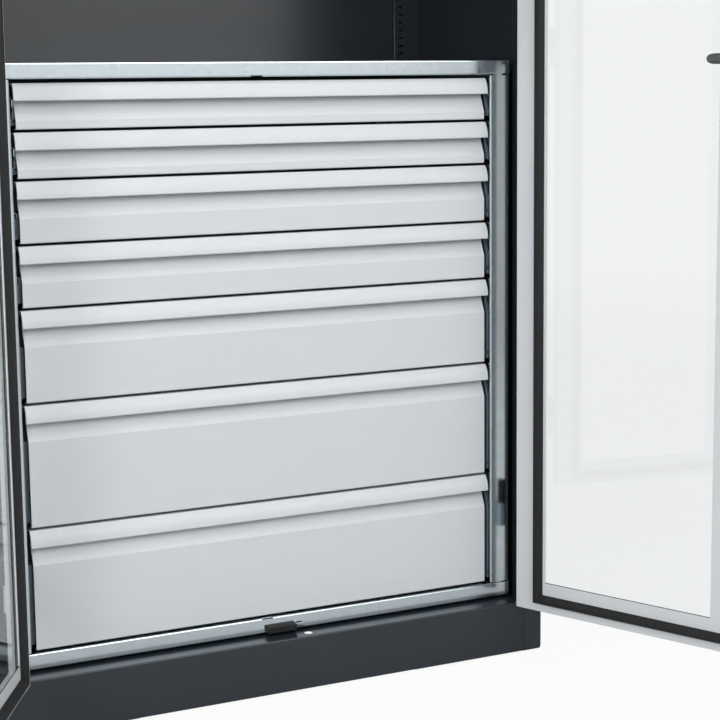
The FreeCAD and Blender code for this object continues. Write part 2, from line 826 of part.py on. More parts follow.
def handle_plate():
    """Plate under the turning grip."""
    x0, x1 = spindle_x - handle_plate_width / 2, spindle_x + handle_plate_width / 2
    z0, z1 = lock_height - handle_plate_height / 2, lock_height + handle_plate_height / 2
    plate = box(x0, x1, -handle_plate_thickness, 0, z0, z1)
    corners = [e for e in plate.Edges
               if abs(e.Vertexes[0].Point.x - e.Vertexes[1].Point.x) < 1e-6
               and abs(e.Vertexes[0].Point.z - e.Vertexes[1].Point.z) < 1e-6]
    plate = plate.makeFillet(handle_plate_width / 4, corners)
    return plate.cut(through(spindle_radius + rod_edge_clearance, spindle_x, -2 * handle_plate_thickness,
                             handle_plate_thickness))


def door_buffer():
    """Rubber block on the bottom rail that both doors close against."""
    x0, x1 = buffer_centre - buffer_width / 2, buffer_centre + buffer_width / 2
    face = door_thickness + seal_rest_gap
    block = box(x0, x1, face, block_face, buffer_level, buffer_level + buffer_height)
    return block.makeFillet(buffer_radius, long_edges(block, face))


def foot(x0, x1, s0, s1):
    """Plug in the foot of a column, with a round pad under it."""
    c = foot_plug_clearance
    plug = box(x0 + c, x1 - c, s0 + c, s1 - c, body_lift, body_lift + foot_plug_height)
    upright = [e for e in plug.Edges
               if abs(e.Vertexes[0].Point.z - e.Vertexes[1].Point.z) > 1]
    plug = plug.makeFillet(foot_plug_radius, upright)
    pad = post(foot_pad_radius, (x0 + x1) / 2, (s0 + s1) / 2, 0, body_lift)
    return plug.fuse(pad)


def feet():
    """One foot in each column."""
    t = body_sheet
    pair = [foot(jamb_x + t, half_width - t, t, front_column_depth - t),
            foot(column_x + t, half_width - t, column_face + t, body_depth - t)]
    return pair + [mirrored(f) for f in pair]


def opened(shape, angle=door_open_angle):
    """A right-door piece swung open about its hinge axis."""
    turned = shape.copy()
    turned.rotate(FreeCAD.Vector(hinge_x, at(-hinge_axis_reach), 0), FreeCAD.Vector(0, 0, 1), angle)
    return turned


def write(name, solids):
    """One STEP file for one node."""
    solids = solids if isinstance(solids, list) else [solids]
    parts = []
    for solid in solids:
        parts += solid.Solids
    shape = parts[0] if len(parts) == 1 else Part.makeCompound(parts)
    shape.exportStep("parts/" + name + ".step")


def write_body():
    """Body sheets, shelves, feet and buffer."""
    right = side_panel()
    write("side_panel_right", right)
    write("side_panel_left", mirrored(right))
    write("base_pan", base_pan())
    write("top_panel", top_panel())
    write("back_panel", back_panel())
    for name, number in zip(("lower_shelf", "upper_shelf"), shelf_slot_numbers()):
        write(name, shelf(shelf_level(number)))
    write("shelf_clips", shelf_clips())
    write("levelling_feet", feet())
    write("door_buffer", door_buffer())


def write_housing():
    """The drawer block without its drawers."""
    write("housing_cover", housing_cover())
    write("bottom_rail", bottom_rail())
    right = housing_side()
    write("housing_side_right", right)
    write("housing_side_left", mirrored(right))
    write("housing_rear_tie", rear_tie())


def write_drawers():
    """Seven drawers and their slides."""
    all_fixed = []
    for number, height in enumerate(drawer_heights, start=1):
        base = drawer_base(number)
        fixed, middle, moving = slide_members(base)
        all_fixed += fixed
        write("drawer_%d_front" % number, drawer_front(base, height))
        write("drawer_%d_tray" % number, drawer_tray(base, height))
        write("drawer_%d_slides" % number, moving)
        write("drawer_%d_middle_slides" % number, middle)
    write("cabinet_slides", all_fixed)


def write_doors():
    """Both doors, swung open, and the hinges."""
    pieces = {"panel": door_panel(False), "pane": door_pane(), "seal": door_seal(),
              "knuckles": Part.makeCompound(door_knuckles())}
    for name, shape in pieces.items():
        if name != "panel":
            write("door_right_" + name, opened(shape))
        if name == "seal":
            shape = Part.makeCompound([shape, meeting_strip()])
        write("door_left_" + name, mirrored(opened(shape)))
    write("door_right_panel", opened(door_panel(True)))
    frame = frame_knuckles()
    write("frame_knuckles", frame + [mirrored(k) for k in frame])
    pins = hinge_pins()
    write("hinge_pins", pins + [mirrored(p) for p in pins])


def write_lock():
    """Handle, pinion, rods and case of the right-hand door."""
    write("lock_handle", opened(lock_handle()))
    write("lock_pinion", opened(lock_pinion()))
    write("lock_case", opened(lock_case()))
    write("handle_plate", opened(handle_plate()))
    write("lower_lock_rod", opened(lower_lock_rod()))
    write("upper_lock_rod", opened(upper_lock_rod()))


os.makedirs("parts", exist_ok=True)
write_body()
write_housing()
write_drawers()
write_doors()
write_lock()
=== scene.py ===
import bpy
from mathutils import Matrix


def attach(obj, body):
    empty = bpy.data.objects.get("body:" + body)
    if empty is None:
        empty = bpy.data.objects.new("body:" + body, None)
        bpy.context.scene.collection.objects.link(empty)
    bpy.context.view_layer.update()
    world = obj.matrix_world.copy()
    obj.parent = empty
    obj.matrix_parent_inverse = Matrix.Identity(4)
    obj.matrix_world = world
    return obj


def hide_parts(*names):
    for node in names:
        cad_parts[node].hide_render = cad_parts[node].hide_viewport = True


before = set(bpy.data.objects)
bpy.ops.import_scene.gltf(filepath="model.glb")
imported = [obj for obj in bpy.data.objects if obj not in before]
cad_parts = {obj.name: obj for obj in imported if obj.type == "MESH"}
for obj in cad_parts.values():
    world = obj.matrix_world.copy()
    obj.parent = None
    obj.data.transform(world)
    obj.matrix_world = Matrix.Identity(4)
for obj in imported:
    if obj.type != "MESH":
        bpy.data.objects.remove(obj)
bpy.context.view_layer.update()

import math

import bmesh
import bpy
from mathutils import Matrix, Vector

MM = 0.001
DRAWERS = range(1, 8)

# Sizes in millimetres, as the sheet parts have them. A setback counts from the front plane to the back.
FRONT_Y = -250.0
HINGE_X = 462.0
HINGE_Y = -259.0
DOOR_SWING = math.radians(117)
HINGE_HEIGHTS = (259.0, 1090.0, 1730.0)     # where the frame's knuckles begin
# Outlines of the shut right door: low x, high x, low z, high z.
WINDOW = (86.5, 400.5, 150.5, 1859.5)       # in the inner skin
OUTER_OPENING = (70.5, 416.5, 134.5, 1875.5)
SEAL_OUTLINE = (4.5, 420.0, 114.5, 1895.5)
SPINDLE_X = 36.89                           # of the lock
LOCK_HEIGHT = 1050.0
DRAWER_BASES = (953.0, 878.0, 778.0, 678.0, 528.0, 328.0, 128.0)
DRAWER_HEIGHTS = (75.0, 75.0, 100.0, 100.0, 150.0, 200.0, 200.0)


# ---- camera -------------------------------------------------------------------------------------

CAMERA_PLACE = (-0.9717, -2.7047, 1.0211)
CAMERA_TURN = math.radians(-24.52)      # towards the hinge side of the right door
CAMERA_DIP = math.radians(7.829)
CAMERA_ROLL = math.radians(-0.659)

camera = bpy.data.objects.new("camera", bpy.data.cameras.new("camera"))
camera.data.sensor_width = 36.0
camera.data.lens = 81.745
camera.data.shift_y = -0.075
camera.data.clip_start = 0.05
camera.data.dof.use_dof = False
camera.matrix_world = (
    Matrix.Translation(CAMERA_PLACE)
    @ Matrix.Rotation(CAMERA_TURN, 4, "Z")
    @ Matrix.Rotation(math.pi / 2 - CAMERA_DIP, 4, "X")
    @ Matrix.Rotation(CAMERA_ROLL, 4, "Z")
)
bpy.context.scene.collection.objects.link(camera)
bpy.context.scene.camera = camera
bpy.context.scene.view_settings.view_transform = "Standard"


# ---- colour and node helpers --------------------------------------------------------------------

def linear(hex_code):
    """An sRGB hex colour as the linear RGBA that a socket takes."""
    channels = [int(hex_code[i:i + 2], 16) / 255 for i in (1, 3, 5)]
    return tuple(c / 12.92 if c <= 0.04045 else ((c + 0.055) / 1.055) ** 2.4 for c in channels) + (1.0,)


def add_node(tree, kind, settings=None, links=None):
    """Adds a node, sets its properties and unlinked inputs, and feeds its linked inputs."""
    node = tree.nodes.new(kind)
    for name, value in (settings or {}).items():
        if isinstance(name, str) and hasattr(node, name):
            setattr(node, name, value)
        else:
            node.inputs[name].default_value = value
    for name, source in (links or {}).items():
        tree.links.new(source, node.inputs[name])
    return node


def new_material(name):
    """An empty node material and its tree."""
    material = bpy.data.materials.new(name)
    material.use_nodes = True
    material.node_tree.nodes.clear()
    return material, material.node_tree


def blend_colours(tree, share, first, second):
    """A socket that goes from one hex colour to the other as share goes from 0 to 1."""
    mix = add_node(tree, "ShaderNodeMix", {"data_type": "RGBA", 6: linear(first), 7: linear(second)},
                   {0: share})
    return mix.outputs[2]


def finish_surface(tree, shader):
    """Sends the shader to the surface."""
    add_node(tree, "ShaderNodeOutputMaterial", None, {"Surface": shader})


# ---- materials ----------------------------------------------------------------------------------

def powder_coat(name, body_hex, thin_hex, roughness, round_mm):
    """Polyester powder coat, sprayed and baked on sheet steel: an even, satin skin with a faint orange
    peel, very slightly uneven in tone, and rounded where it flows over the edges. Real orange peel
    has ripples 2 to 3 mm apart; they are drawn 6 mm apart so that they show at all."""
    material, tree = new_material(name)
    place = add_node(tree, "ShaderNodeTexCoord").outputs["Object"]
    clouds = add_node(tree, "ShaderNodeTexNoise", {"Scale": 1 / (90 * MM), "Detail": 3.0, "Roughness": 0.55},
                      {"Vector": place})
    peel = add_node(tree, "ShaderNodeTexNoise", {"Scale": 1 / (6 * MM), "Detail": 2.0, "Roughness": 0.5},
                    {"Vector": place})
    gloss = add_node(tree, "ShaderNodeMapRange", {"To Min": roughness - 0.02, "To Max": roughness + 0.02},
                     {"Value": clouds.outputs["Fac"]})
    edge = add_node(tree, "ShaderNodeBevel", {"samples": 4, "Radius": round_mm * MM})
    bump = add_node(tree, "ShaderNodeBump", {"Strength": 0.25, "Distance": 0.05 * MM},
                    {"Height": peel.outputs["Fac"], "Normal": edge.outputs["Normal"]})
    skin = add_node(tree, "ShaderNodeBsdfPrincipled", {"IOR": 1.5}, {
        "Base Color": blend_colours(tree, clouds.outputs["Fac"], body_hex, thin_hex),
        "Roughness": gloss.outputs["Result"],
        "Normal": bump.outputs["Normal"],
    })
    finish_surface(tree, skin.outputs["BSDF"])
    return material


def zinc_coated_steel(name, light_hex, dark_hex, roughness, crystal_mm, grain_axis):
    """Galvanised or electroplated sheet steel, skin-passed: a satin metal, cool in tone, with flat zinc
    crystals that differ a little in gloss and fine roll marks along the sheet. Real roll marks are
    0.1 mm wide; they are drawn 1.5 mm wide so that they show."""
    material, tree = new_material(name)
    place = add_node(tree, "ShaderNodeTexCoord").outputs["Object"]
    crystals = add_node(tree, "ShaderNodeTexVoronoi", {"Scale": 1 / (crystal_mm * MM), "Randomness": 1.0},
                        {"Vector": place})
    stretch = [1 / (1.5 * MM)] * 3
    stretch[grain_axis] = 1 / (160 * MM)
    along = add_node(tree, "ShaderNodeMapping", {"vector_type": "POINT", "Scale": stretch}, {"Vector": place})
    marks = add_node(tree, "ShaderNodeTexNoise", {"Scale": 1.0, "Detail": 3.0},
                     {"Vector": along.outputs["Vector"]})
    tone = add_node(tree, "ShaderNodeSeparateColor", None, {"Color": crystals.outputs["Color"]})
    gloss = add_node(tree, "ShaderNodeMath",
                     {"operation": "MULTIPLY_ADD", 1: 0.03, 2: roughness - 0.015}, {0: tone.outputs["Red"]})
    edge = add_node(tree, "ShaderNodeBevel", {"samples": 4, "Radius": 0.6 * MM})
    bump = add_node(tree, "ShaderNodeBump", {"Strength": 0.08, "Distance": 0.02 * MM},
                    {"Height": marks.outputs["Fac"], "Normal": edge.outputs["Normal"]})
    metal = add_node(tree, "ShaderNodeBsdfPrincipled", {"Metallic": 1.0}, {
        "Base Color": blend_colours(tree, tone.outputs["Green"], light_hex, dark_hex),
        "Roughness": gloss.outputs["Value"],
        "Normal": bump.outputs["Normal"],
    })
    finish_surface(tree, metal.outputs["BSDF"])
    return material


def turned_steel(name):
    """Free-cutting steel turned on a lathe: bright, with rings round the pin. Real feed rings are 0.1 mm
    apart; they are drawn 1 mm apart so that they show."""
    material, tree = new_material(name)
    place = add_node(tree, "ShaderNodeTexCoord").outputs["Object"]
    rings = add_node(tree, "ShaderNodeTexWave",
                     {"wave_type": "BANDS", "bands_direction": "Z", "Scale": 0.05 / MM, "Distortion": 0.4},
                     {"Vector": place})
    bump = add_node(tree, "ShaderNodeBump", {"Strength": 0.3, "Distance": 0.04 * MM},
                    {"Height": rings.outputs["Fac"]})
    metal = add_node(tree, "ShaderNodeBsdfPrincipled", {"Metallic": 1.0, "Roughness": 0.24}, {
        "Base Color": blend_colours(tree, rings.outputs["Fac"], "#C4C5C4", "#AFB0B0"),
        "Normal": bump.outputs["Normal"],
    })
    finish_surface(tree, metal.outputs["BSDF"])
    return material


def moulded_plastic(name, high_hex, low_hex, roughness, grain_mm):
    """Glass-filled nylon, injection moulded against a spark-eroded tool: dark and dull, with a pebbled
    grain. The real grain is 0.3 mm; it is drawn 1 mm or more so that it shows."""
    material, tree = new_material(name)
    place = add_node(tree, "ShaderNodeTexCoord").outputs["Object"]
    pebbles = add_node(tree, "ShaderNodeTexVoronoi", {"feature": "SMOOTH_F1", "Scale": 1 / (grain_mm * MM)},
                       {"Vector": place})
    edge = add_node(tree, "ShaderNodeBevel", {"samples": 4, "Radius": 0.8 * MM})
    bump = add_node(tree, "ShaderNodeBump", {"Strength": 0.3, "Distance": 0.06 * MM},
                    {"Height": pebbles.outputs["Distance"], "Normal": edge.outputs["Normal"]})
    skin = add_node(tree, "ShaderNodeBsdfPrincipled", {"IOR": 1.53, "Roughness": roughness}, {
        "Base Color": blend_colours(tree, pebbles.outputs["Distance"], high_hex, low_hex),
        "Normal": bump.outputs["Normal"],
    })
    finish_surface(tree, skin.outputs["BSDF"])
    return material


def extruded_rubber(name):
    """EPDM rubber, extruded as a hollow profile: near black and dull, with die lines along it and a dusty
    bloom. Real die lines are 0.2 mm apart; they are drawn 1.2 mm apart so that they show."""
    material, tree = new_material(name)
    place = add_node(tree, "ShaderNodeTexCoord").outputs["Object"]
    bloom = add_node(tree, "ShaderNodeTexNoise", {"Scale": 1 / (14 * MM), "Detail": 4.0}, {"Vector": place})
    lines = add_node(tree, "ShaderNodeTexNoise", {"Scale": 1 / (1.2 * MM), "Detail": 1.0}, {"Vector": place})
    bump = add_node(tree, "ShaderNodeBump", {"Strength": 0.25, "Distance": 0.05 * MM},
                    {"Height": lines.outputs["Fac"]})
    skin = add_node(tree, "ShaderNodeBsdfPrincipled", {"IOR": 1.43, "Roughness": 0.72}, {
        "Base Color": blend_colours(tree, bloom.outputs["Fac"], "#0B0B0C", "#101011"),
        "Normal": bump.outputs["Normal"],
    })
    finish_surface(tree, skin.outputs["BSDF"])
    return material


def clear_acrylic(name):
    """Cast acrylic sheet, clear: glossy on both faces, a touch grey through its thickness, and a little
    wavy from the mould. It lets the lamps' rays through, so what is behind it is lit."""
    material, tree = new_material(name)
    place = add_node(tree, "ShaderNodeTexCoord").outputs["Object"]
    wave = add_node(tree, "ShaderNodeTexNoise", {"Scale": 1 / (220 * MM), "Detail": 1.0}, {"Vector": place})
    bump = add_node(tree, "ShaderNodeBump", {"Strength": 0.1, "Distance": 0.2 * MM},
                    {"Height": wave.outputs["Fac"]})
    sheet = add_node(tree, "ShaderNodeBsdfPrincipled", {
        "Base Color": linear("#F1F3F3"), "Roughness": 0.01, "IOR": 1.49, "Transmission Weight": 1.0,
    }, {"Normal": bump.outputs["Normal"]})
    let_through = add_node(tree, "ShaderNodeBsdfTransparent", {"Color": linear("#F4F6F6")})
    path = add_node(tree, "ShaderNodeLightPath")
    both = add_node(tree, "ShaderNodeMixShader", None, {
        0: path.outputs["Is Shadow Ray"], 1: sheet.outputs["BSDF"], 2: let_through.outputs["BSDF"],
    })
    finish_surface(tree, both.outputs["Shader"])
    return material


FINISHES = {
    "anthracite_paint": powder_coat("anthracite_powder_coat", "#1B232A", "#1E262D", 0.30, 0.8),
    # Mid grey for the drawer end plates: painted shade, their tone in the shadowed gap beside the fronts, not
    # a coat of their own.
    "painted_shade_grey": powder_coat("painted_shade_grey_coat", "#5E6A70", "#616D73", 0.36, 0.8),
    "light_grey_paint": powder_coat("light_grey_powder_coat", "#C4C8CB", "#C6CACD", 0.38, 0.8),
    "galvanised_sheet": zinc_coated_steel("galvanised_steel_sheet", "#C3CCD1", "#BFC9CE", 0.15, 9.0, 0),
    "zinc_plate": zinc_coated_steel("zinc_plated_steel", "#BFC6CD", "#B7BFC7", 0.24, 5.0, 1),
    "turned_steel": turned_steel("turned_steel"),
    "black_rubber": extruded_rubber("extruded_rubber"),
    "black_plastic": moulded_plastic("moulded_nylon", "#1B1C1E", "#242527", 0.45, 1.4),
    "clear_pane": clear_acrylic("cast_acrylic"),
}

# Which finish each part of the cabinet has. The mid grey of the drawers' end plates is not a finish of the
# record: it is painted shade, the tone these plates show in the shadowed gap beside the fronts.
PARTS = {
    "anthracite_paint": ["side_panel_left", "side_panel_right", "base_pan", "top_panel", "back_panel",
                         "lower_shelf", "upper_shelf", "frame_knuckles"],
    "light_grey_paint": ["door_left_panel", "door_right_panel", "door_left_knuckles", "door_right_knuckles"]
                        + ["drawer_%d_%s" % (n, part) for n in DRAWERS for part in ("front", "tray")],
    "galvanised_sheet": ["housing_cover", "bottom_rail", "housing_side_left", "housing_side_right",
                         "housing_rear_tie"],
    "zinc_plate": ["cabinet_slides", "shelf_clips", "lock_case", "lower_lock_rod", "upper_lock_rod"]
                  + ["drawer_%d_%s" % (n, part) for n in DRAWERS for part in ("slides", "middle_slides")],
    "turned_steel": ["hinge_pins", "lock_pinion"],
    "black_rubber": ["door_left_seal", "door_right_seal", "door_buffer"],
    "black_plastic": ["levelling_feet", "lock_handle", "handle_plate"],
    "clear_pane": ["door_left_pane", "door_right_pane"],
}
for finish, nodes in PARTS.items():
    for node in nodes:
        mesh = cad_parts[node].data
        mesh.materials.clear()
        mesh.materials.append(FINISHES[finish])


# ---- mesh helpers -------------------------------------------------------------------------------

def spot(x, setback, z):
    """A point of the cabinet body, in metres."""
    return Vector((x, FRONT_Y + setback, z)) * MM


def door_spot(hand):
    """Gives the place, on the swung-open door of that side, of a point drawn on the shut right door."""
    def place(x, setback, z):
        arm = Matrix.Rotation(DOOR_SWING, 2) @ Vector((x - HINGE_X, FRONT_Y + setback - HINGE_Y))
        return Vector((hand * (HINGE_X + arm.x), HINGE_Y + arm.y, z)) * MM
    return place


def loft(shape, rings, loop=False):
    """Skins a row of rings that all have the same number of points, and caps it unless it loops."""
    rows = [[shape.verts.new(point) for point in ring] for ring in rings]
    for one, other in zip(rows, rows[1:] + rows[:1] if loop else rows[1:]):
        for n in range(len(one)):
            shape.faces.new((one[n - 1], one[n], other[n], other[n - 1]))
    if not loop:
        shape.faces.new(rows[0])
        shape.faces.new(rows[-1])


def loft_frame(shape, place, outline, section, open_side=False):
    """Runs a section round an upright rectangle with mitred corners; with open_side, all but its low-x side.

    Section points are (distance in from the outline, setback).
    """
    x0, x1, z0, z1 = outline
    leave = 0 if open_side else 1
    turns = [(x0, z0, leave, 1), (x1, z0, -1, 1), (x1, z1, -1, -1), (x0, z1, leave, -1)]
    rings = [[place(x + a * inward, setback, z + a * upward) for a, setback in section]
             for x, z, inward, upward in turns]
    loft(shape, rings, loop=not open_side)


def ring_points(centre, across, up, radius, count):
    """Points of a circle round centre, in the plane of two directions."""
    return [centre + (across * math.cos(a) + up * math.sin(a)) * radius
            for a in (2 * math.pi * n / count for n in range(count))]


def make_piece(name, shape, finish, body, replaced=(), smooth=30):
    """Turns a mesh in the making into a piece with its finish that rides on a body.

    Faces that meet at less than smooth degrees are shaded as one round.
    """
    bmesh.ops.recalc_face_normals(shape, faces=shape.faces)
    mesh = bpy.data.meshes.new(name)
    shape.to_mesh(mesh)
    shape.free()
    mesh.shade_smooth()
    mesh.set_sharp_from_angle(angle=math.radians(smooth))
    mesh.materials.append(FINISHES[finish])
    piece = bpy.data.objects.new(name, mesh)
    bpy.context.scene.collection.objects.link(piece)
    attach(piece, body)
    if replaced:
        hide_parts(*replaced)
    return piece


# ---- door seals, glazing and edge returns -------------------------------------------------------

# Hollow rubber profile: a flat crown that meets the frame, a sloping flank towards the window and a foot.
SEAL_SECTION = [(0, 24), (0, 33.4), (0.3, 34.2), (1.1, 34.5), (8.2, 34.5), (9.1, 34.2), (9.7, 33.4),
                (13.4, 26.2), (14.2, 25.2), (14.2, 24)]
# Wedge of glazing rubber between the reveal of the outer skin and the pane.
BEAD_SECTION = [(0, 18.7), (0, 11.5), (1.2, 11.0), (2.6, 11.6), (6.4, 16.6), (7.0, 17.6), (7.0, 18.7)]
# The left door's lip laps over the gap between the doors: x and setback, and z of its ends.
LIP_SECTION = [(13.5, 24.0), (1.5, 24.0), (1.5, 24.4), (-8.8, 24.4), (-9.4, 24.9), (-9.5, 25.7), (-8.9, 26.3),
               (1.5, 27.0), (12.6, 27.0), (13.5, 26.2)]
LIP_ENDS = (131.0, 1879.0)

# Black strips over and under the pane: painted shade, standing for the shadowed gap between the outer skin
# and the pane that shows as a hairline.
SHADE_LINE_HEIGHT = 0.9
SHADE_LINE_SETBACKS = (22.85, 23.9)
# The hinge-side return of the outer skin, spot-welded over the inner skin: its cut edge makes a fine line.
# Again x and setback, and z of its ends.
RETURN_SECTION = [(424.3, 24), (424.3, 24.35), (424.6, 24.6), (458.6, 24.6), (459.0, 24)]
RETURN_ENDS = (98.9, 1911.1)

for side, hand in (("left", -1), ("right", 1)):
    body = "door_" + side
    place = door_spot(hand)

    shape = bmesh.new()
    loft_frame(shape, place, SEAL_OUTLINE, SEAL_SECTION, open_side=True)
    if side == "left":
        loft(shape, [[place(x, setback, z) for x, setback in LIP_SECTION] for z in LIP_ENDS])
    make_piece(body + "_rubber_profile", shape, "black_rubber", body, [body + "_seal"])

    shape = bmesh.new()
    loft_frame(shape, place, OUTER_OPENING, BEAD_SECTION)
    make_piece(body + "_glazing_bead", shape, "black_rubber", body)

    # Painted shade: thin black rubber strips where there is only the shadow of the gap above and below the
    # pane.
    shape = bmesh.new()
    x0, x1, z0, z1 = WINDOW
    near, far = SHADE_LINE_SETBACKS
    for low, high in ((z0, z0 + SHADE_LINE_HEIGHT), (z1 - SHADE_LINE_HEIGHT, z1)):
        loft(shape, [[place(x, near, low), place(x, far, low), place(x, far, high), place(x, near, high)]
                     for x in (x0, x1)])
    make_piece(body + "_painted_shade_line", shape, "black_rubber", body)

    shape = bmesh.new()
    loft(shape, [[place(x, setback, z) for x, setback in RETURN_SECTION] for z in RETURN_ENDS])
    make_piece(body + "_edge_return", shape, "light_grey_paint", body)


# ---- drawer housing -----------------------------------------------------------------------------

# Ground-off welds that join the posts to the top rail, flush with both: setback and z, and x of their ends.
CORNER_WELD_SECTION = [(35.5, 1028.7), (34.97, 1028.8), (34.97, 1031.3), (35.5, 1031.4)]
CORNER_WELD_ENDS = (423.0, 439.0)

shape = bmesh.new()
for hand in (-1, 1):
    loft(shape, [[spot(hand * x, setback, z) for setback, z in CORNER_WELD_SECTION]
                 for x in CORNER_WELD_ENDS])
make_piece("housing_corner_welds", shape, "galvanised_sheet", "cabinet", smooth=50)


# ---- hinges -------------------------------------------------------------------------------------

KNUCKLE_HEIGHT = 42.5
KNUCKLE_GAP = 0.4               # between the knuckles of frame and door
FRAME_WELD_X = 478.4
DOOR_WELD_X = 445.6
WELD_SCALE = 4                  # length of one scale of a weld
WELD_LEGS = (1.7, 2.3)          # leg between two scales and in the middle of one
WELD_LIFT = 0.2                 # brings the foot of a weld up to the face of the sheet
WELD_SECTION = [(-0.9, 0.1), (1, 0.1), (0.8, -0.45), (0.25, -0.85), (-0.9, -1)]     # x, setback, in legs


def weld_beads(shape, place, x, bottoms):
    """Fillet welds along the foot of the hinge webs, as long as the knuckles."""
    scales = int(KNUCKLE_HEIGHT / WELD_SCALE)
    for bottom in bottoms:
        rings = []
        for n in range(2 * scales + 1):
            leg = WELD_LEGS[n % 2]
            z = bottom + KNUCKLE_HEIGHT * n / (2 * scales)
            rings.append([place(x + dx * leg, ds * leg - WELD_LIFT, z) for dx, ds in WELD_SECTION])
        loft(shape, rings)


shape = bmesh.new()
for hand in (-1, 1):
    weld_beads(shape, lambda x, setback, z: spot(hand * x, setback, z), FRAME_WELD_X, HINGE_HEIGHTS)
make_piece("frame_hinge_welds", shape, "anthracite_paint", "cabinet", smooth=60)
for side, hand in (("left", -1), ("right", 1)):
    place = door_spot(hand)
    shape = bmesh.new()
    # The web stands on the other side of this weld, so its section is mirrored.
    weld_beads(shape, lambda x, setback, z: place(2 * DOOR_WELD_X - x, setback, z), DOOR_WELD_X,
               [z - KNUCKLE_HEIGHT - KNUCKLE_GAP for z in HINGE_HEIGHTS])
    make_piece("door_%s_hinge_welds" % side, shape, "light_grey_paint", "door_" + side, smooth=60)


# ---- lock of the right door ---------------------------------------------------------------------

# Lever: distance from the spindle, half height, and setback of its back and of its crown.
LEVER_RINGS = [
    (-10.9, 1.5, -8, -18), (-10.0, 4.4, -5, -20.6), (-7.6, 8.0, -3.6, -22.0), (-3.5, 10.6, -3.5, -22.6),
    (2.0, 11.0, -3.5, -22.8), (8.0, 10.4, -3.5, -22.4), (14.0, 9.0, -4.6, -21.4), (22.0, 8.0, -7.0, -20.4),
    (38.0, 7.8, -8.0, -20.2), (58.0, 8.4, -8.4, -20.8), (74.0, 8.9, -8.6, -21.6), (84.0, 8.2, -9.0, -21.4),
    (89.5, 5.6, -10.4, -20.2), (91.6, 1.8, -13.0, -18.0),
]
LEVER_SIDES = 16
LEVER_SQUARENESS = 0.7          # 1 is an ellipse, and less is squarer
# Lock cylinder: radius and height over the face of the door.
CYLINDER_RINGS = [(7.6, 19.0), (7.6, 22.9), (7.1, 23.4), (6.0, 23.4), (5.7, 22.9), (5.5, 22.9), (5.3, 23.25),
                  (1.0, 23.25)]
CYLINDER_SIDES = 40
KEY_SLOT_OUTLINE = [(-0.6, -3.8), (0.6, -3.8), (0.6, -0.8), (1.3, 0.4), (1.3, 2.6), (-0.6, 3.8)]
KEY_SLOT_HEIGHTS = (22.6, 23.3)

place = door_spot(1)
shape = bmesh.new()
rings = []
for reach, half, back, crown in LEVER_RINGS:
    ring = []
    for n in range(LEVER_SIDES):
        a = 2 * math.pi * n / LEVER_SIDES
        fat = [math.copysign(abs(f(a)) ** LEVER_SQUARENESS, f(a)) for f in (math.cos, math.sin)]
        ring.append(place(SPINDLE_X + reach, (back + crown) / 2 + fat[0] * (back - crown) / 2,
                          LOCK_HEIGHT + fat[1] * half))
    rings.append(ring)
loft(shape, rings)
lever = make_piece("turning_lever", shape, "black_plastic", "lock_turn", ["lock_handle"])
lever.modifiers.new("smooth_moulding", "SUBSURF").render_levels = 2

out = (place(0, -1, 0) - place(0, 0, 0)).normalized()
along = (place(1, 0, 0) - place(0, 0, 0)).normalized()
upright = Vector((0, 0, 1))
hub = place(SPINDLE_X, 0, LOCK_HEIGHT)
shape = bmesh.new()
loft(shape, [ring_points(hub + out * height * MM, along, upright, radius * MM, CYLINDER_SIDES)
             for radius, height in CYLINDER_RINGS])
make_piece("lock_cylinder", shape, "turned_steel", "lock_turn")
# The key slot is a black insert level with the cylinder's face: painted shade in place of the keyway's dark
# hole.
shape = bmesh.new()
loft(shape, [[hub + (along * x + upright * z + out * height) * MM for x, z in KEY_SLOT_OUTLINE]
             for height in KEY_SLOT_HEIGHTS])
make_piece("key_slot", shape, "black_plastic", "lock_turn")


# ---- drawer fronts ------------------------------------------------------------------------------

# End plates beside each front: they follow its fold, have a slot that hooks the front on, and are welded
# to it by a leg that lies behind the recess.
PLATE_LOW = 6.5                 # over the base of the drawer
RECESS_FROM_TOP = 31.0          # lower edge of the grip, under the top of the drawer
FOLD_DROP = 30.0                # from there down to the fold
PLATE_FACE = 42.6               # setbacks of the plate
RECESS_BACK = 54.6
PLATE_BACK = 55.4
PLATE_OVERLAP = 2.0             # how far it runs up behind the recess
PLATE_SIDES = (413.0, 414.2)    # x of its two faces
SLOT_LOW = 14.5                 # of the hooking slot, over the base of the drawer
SLOT_HIGH = 19.5
SLOT_BACK = 47.5
LEG_SECTION = [(404.6, 54.4), (413.4, 54.4), (413.4, 55.5), (404.6, 55.5)]      # x, setback
LEG_OVER_EDGE = 0.2             # the leg begins this far over the plate's lower edge
LEG_UNDER_FOLD = 1.0            # and ends this far under the fold

for number, base, height in zip(DRAWERS, DRAWER_BASES, DRAWER_HEIGHTS):
    low = base + PLATE_LOW
    recess_low = base + height - RECESS_FROM_TOP
    fold = recess_low - FOLD_DROP
    top = recess_low + PLATE_OVERLAP
    outline = [(PLATE_FACE, low), (PLATE_BACK, low), (PLATE_BACK, top), (RECESS_BACK, top),
               (RECESS_BACK, recess_low), (PLATE_FACE, fold)]
    if base + SLOT_HIGH < fold:
        outline += [(PLATE_FACE, base + SLOT_HIGH), (SLOT_BACK, base + SLOT_HIGH),
                    (SLOT_BACK, base + SLOT_LOW), (PLATE_FACE, base + SLOT_LOW)]
    shape = bmesh.new()
    for hand in (-1, 1):
        loft(shape, [[spot(hand * x, setback, z) for setback, z in outline] for x in PLATE_SIDES])
        loft(shape, [[spot(hand * x, setback, z) for x, setback in LEG_SECTION]
                     for z in (low + LEG_OVER_EDGE, fold - LEG_UNDER_FOLD)])
    # The end plates take the mid grey of painted shade.
    make_piece("drawer_%d_end_plates" % number, shape, "painted_shade_grey", "drawer_%d" % number)


# ---- floor, air and lamps -----------------------------------------------------------------------

